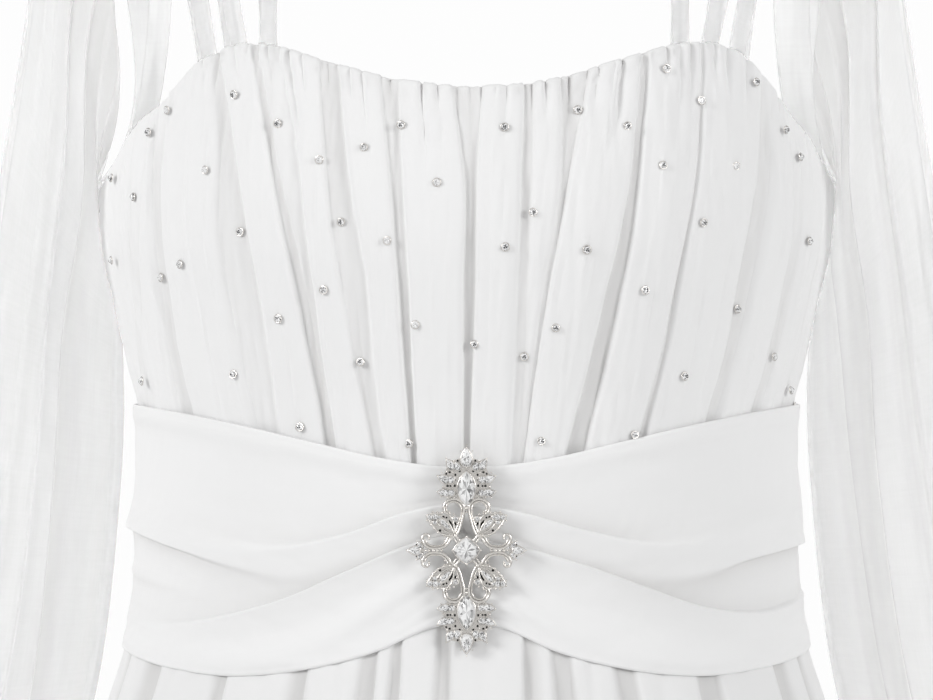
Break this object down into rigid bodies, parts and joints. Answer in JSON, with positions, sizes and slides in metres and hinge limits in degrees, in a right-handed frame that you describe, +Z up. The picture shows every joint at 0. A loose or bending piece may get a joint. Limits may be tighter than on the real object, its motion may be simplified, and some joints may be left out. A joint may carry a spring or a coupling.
{
  "type": "ball gown",
  "caption": "White chiffon ball gown, filled out as worn: gathered bodice with straps, long sheer sleeves, draped waistband with a stone brooch, full gathered skirt.",
  "frame": {"origin": "middle of the shoulder line, where the wearer's shoulders hold the gown up", "axes": "+Z up, the gown's front faces -Y, +X is to the right when seen from the front"},
  "size_m": [1.0016, 0.9444, 1.397],
  "materials": {
    "bodice": "gathered matt chiffon over cloth, opaque white",
    "straps": "folded chiffon strips",
    "sleeves": "sheer white chiffon",
    "waistband": "draped matt chiffon",
    "skirt": "gathered chiffon",
    "silver": "bright silver-coloured cast metal",
    "crystal": "cut clear stones with foiled backs"
  },
  "bodies": {
    "root": {"bodice_front": "bodice", "bodice_back": "bodice", "neckline_edge": "bodice", "strap_left_inner": "straps", "strap_left_middle": "straps", "strap_left_outer": "straps", "strap_right_inner": "straps", "strap_right_middle": "straps", "strap_right_outer": "straps", "armhole_band_left": "straps", "armhole_band_right": "straps", "sleeve_left": "sleeves", "sleeve_right": "sleeves", "waistband_front": "waistband", "waistband_back": "waistband", "skirt_front": "skirt", "skirt_back": "skirt", "brooch_frame": "silver", "brooch_stone_peak": "crystal", "brooch_stone_top": "crystal", "brooch_stone_middle": "crystal", "brooch_stone_bottom": "crystal", "brooch_stone_foot": "crystal", "brooch_stone_left": "crystal", "brooch_stone_right": "crystal"}
  },
  "joints": []
}
